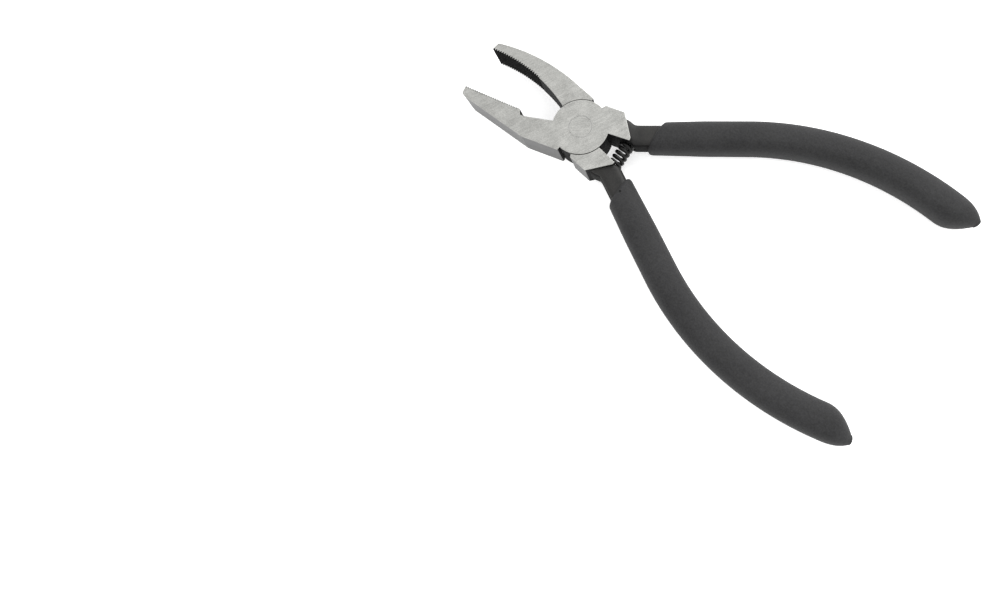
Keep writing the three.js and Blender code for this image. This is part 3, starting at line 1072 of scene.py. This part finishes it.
rivet_piece = to_object(rivet(), "flush_rivet")
lay(rivet_piece, 1)
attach(rivet_piece, "front_handle")
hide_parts("pivot_rivet")
rivet_piece.data.materials.append(rivet_steel)
print("rivet", len(rivet_piece.data.polygons), "faces")

# %% [markdown]
# ## The return spring
# A compression spring ends in a dead coil that lies flat in its seat, so the pitch drops to the wire's
# thickness at both ends. The wire is swept along that helix. The spring belongs to both halves, so it
# is fixed to neither.

# %% Wind the spring
WIRE = 1.1
COIL_DIAMETER = 4.5
COIL_PITCH = 1.48
DEAD_PITCH = WIRE * 1.02
SEAT_GAP = 0.35
STEPS_PER_TURN = 36
WIRE_SIDES = 14


def coil_path():
    length = 2 * (POCKET_FLOOR - SEAT_GAP) - WIRE
    live_turns = (length - 2 * DEAD_PITCH) / COIL_PITCH
    turns = live_turns + 2
    steps = round(turns * STEPS_PER_TURN)
    radius = (COIL_DIAMETER - WIRE) / 2
    path = []
    for k in range(steps + 1):
        t = turns * k / steps
        first, live = min(t, 1), min(max(t - 1, 0), live_turns)
        last = max(t - 1 - live_turns, 0)
        rise = DEAD_PITCH * first + COIL_PITCH * live + DEAD_PITCH * last
        path.append(spring_place(radius, 2 * math.pi * t, rise - length / 2))
    return path


def spring():
    path = coil_path()
    rings = []
    for k, p in enumerate(path):
        along = (path[min(k + 1, len(path) - 1)] - path[max(k - 1, 0)]).normalized()
        outward = Vector((p.x - SPRING_X, 0, p.z - MID_HEIGHT)).normalized()
        side = along.cross(outward).normalized()
        outward = side.cross(along)
        spokes = [outward * math.cos(a) + side * math.sin(a) for a in circle(WIRE_SIDES)]
        rings.append([p + spoke * WIRE / 2 for spoke in spokes])
    return skin(rings)


print("spring path", len(coil_path()), "points")

# %% Make the spring's piece
SPRING_CREASE = math.radians(40)

spring_piece = to_object(spring(), "coil_spring")
spring_piece.data.transform(Matrix.Scale(MM, 4))
spring_piece.data.shade_smooth()
spring_piece.data.set_sharp_from_angle(angle=SPRING_CREASE)
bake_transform(spring_piece)
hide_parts("return_spring")
spring_piece.data.materials.append(spring_steel)
print("spring", len(spring_piece.data.polygons), "faces")

# %% [markdown]
# ## The dipped grips
# The handles are dipped in liquid plastic, which sets as a soft matt skin. It ends in a slanted lip
# with a rounded edge, follows the handle, and finishes in a blunt cone where the last drop ran off.
# One row of rings makes it all: out of the bore, round the lip, along the handle and in to the tip.

# %% Name the grip's sizes and its ring
GRIP_START = 6.3
GRIP_WIDTH = 9.88
GRIP_SQUARENESS = 2.5
GRIP_SIDES = 64
BORE_GAP = 0.08
LIP_ROUND = 1.2
LIP_SLANT = math.radians(29.5)
SLANT_RUN = 11
LIP_SLIMMING = 0.3
SLIM_RUN = 14


def grip_ring(at, half, slant=0.0, shift=0.0, squareness=GRIP_SQUARENESS):
    return section(at, half, half, squareness, GRIP_SIDES, slant, shift)


def grip_slant(at):
    return -LIP_SLANT * max(0.0, 1 - (at - GRIP_START) / SLANT_RUN) ** 2


def grip_half_width(at):
    return GRIP_WIDTH / 2 - LIP_SLIMMING * max(0.0, 1 - (at - GRIP_START) / SLIM_RUN)


print("grip", GRIP_WIDTH, "mm thick")

# %% Ring the bore and the rounded lip
BORE_STOPS = (6, 3, 0.5, 0.15)


def lip_rings():
    bore = SHANK_WIDTH / 2 + BORE_GAP
    tall = SHANK_HEIGHT / 2 + BORE_GAP
    rings = []
    for stop in BORE_STOPS:
        at = GRIP_START + stop
        rings.append(section(at, bore, tall, SHANK_SQUARENESS, GRIP_SIDES, grip_slant(at)))
    for k in range(9):
        lean = math.pi / 2 * k / 8
        at = GRIP_START + LIP_ROUND * (1 - math.cos(lean))
        half = grip_half_width(at) - LIP_ROUND * (1 - math.sin(lean))
        rings.append(grip_ring(at, half, grip_slant(at)))
    return rings


print("bore and lip:", len(lip_rings()), "rings")

# %% Ring the handle and the tapered tip
GRIP_TAPER = 9
TAPER_POWER = 2.6
NIB = 1.35
NIB_SHIFT = 2
NIB_ROUND = 0.55
NIB_SQUARENESS = 2.1


def handle_rings(steps=110):
    start, tail = GRIP_START + LIP_ROUND, SPINE_LENGTH - GRIP_TAPER
    stops = [start + (tail - start) * k / steps for k in range(1, steps + 1)]
    return [grip_ring(at, grip_half_width(at), grip_slant(at)) for at in stops]


def tip_rings():
    tail, run = SPINE_LENGTH - GRIP_TAPER, GRIP_TAPER - NIB_ROUND
    rings = []
    for k in range(1, 21):
        share = k / 20
        half = GRIP_WIDTH / 2 - (GRIP_WIDTH / 2 - NIB) * share**TAPER_POWER
        squareness = GRIP_SQUARENESS - (GRIP_SQUARENESS - NIB_SQUARENESS) * share
        shift = NIB_SHIFT * share**2
        rings.append(grip_ring(tail + run * share, half, 0, shift, squareness))
    for k in range(1, 8):
        lean = math.pi / 2 * k / 7.5
        at = SPINE_LENGTH - NIB_ROUND + NIB_ROUND * math.sin(lean)
        rings.append(grip_ring(at, NIB * math.cos(lean), 0, NIB_SHIFT, NIB_SQUARENESS))
    return rings


print("handle and tip:", len(handle_rings()), "and", len(tip_rings()), "rings")

# %% [markdown]
# ### A burst bubble
# A bubble burst near the lip of one grip as the coating set, and left a small round pit. A little ball
# of rings, cut out of the surface, leaves the same hollow.

# %% Make the ball that cuts the pit
BUBBLE_AT = 7.6
BUBBLE_RADIUS = 0.4


def bubble_pit():
    spot, _ = spine(BUBBLE_AT)
    top = MID_HEIGHT + grip_half_width(BUBBLE_AT)
    rings = []
    for k in range(9):
        lean = math.pi * (k - 4) / 9
        r = BUBBLE_RADIUS * math.cos(lean)
        z = top + BUBBLE_RADIUS * math.sin(lean)
        around = [(r * math.cos(a), r * math.sin(a)) for a in circle(16)]
        rings.append([(spot.x + x, spot.y + y, z) for x, y in around])
    return skin(rings)


# %% Dip both handles
for grip_name, body, cad_node, side in (
    ("front_dipped_grip", "front_handle", "front_grip", 1),
    ("back_dipped_grip", "back_handle", "back_grip", -1),
):
    piece = to_object(skin(lip_rings() + handle_rings() + tip_rings()), grip_name)
    if side < 0:
        cut(piece, bubble_pit())
    lay(piece, side)
    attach(piece, body)
    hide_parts(cad_node)
    piece.data.materials.append(dipped_coating)
    print(grip_name, len(piece.data.polygons), "faces")

# %% [markdown]
# ## The table
# A wide pale sheet under the tool catches a faint, soft shadow.

# %% Lay the table
TABLE_HALF = 3
TABLE_GAP = 0.2 * MM

table_mesh = bmesh.new()
bmesh.ops.create_grid(table_mesh, x_segments=1, y_segments=1, size=TABLE_HALF)
table = to_object(table_mesh, "table")
table.location.z = cad_box[0][2] - TABLE_GAP
table.data.materials.append(pale_table)
print("table", 2 * TABLE_HALF, "m wide")
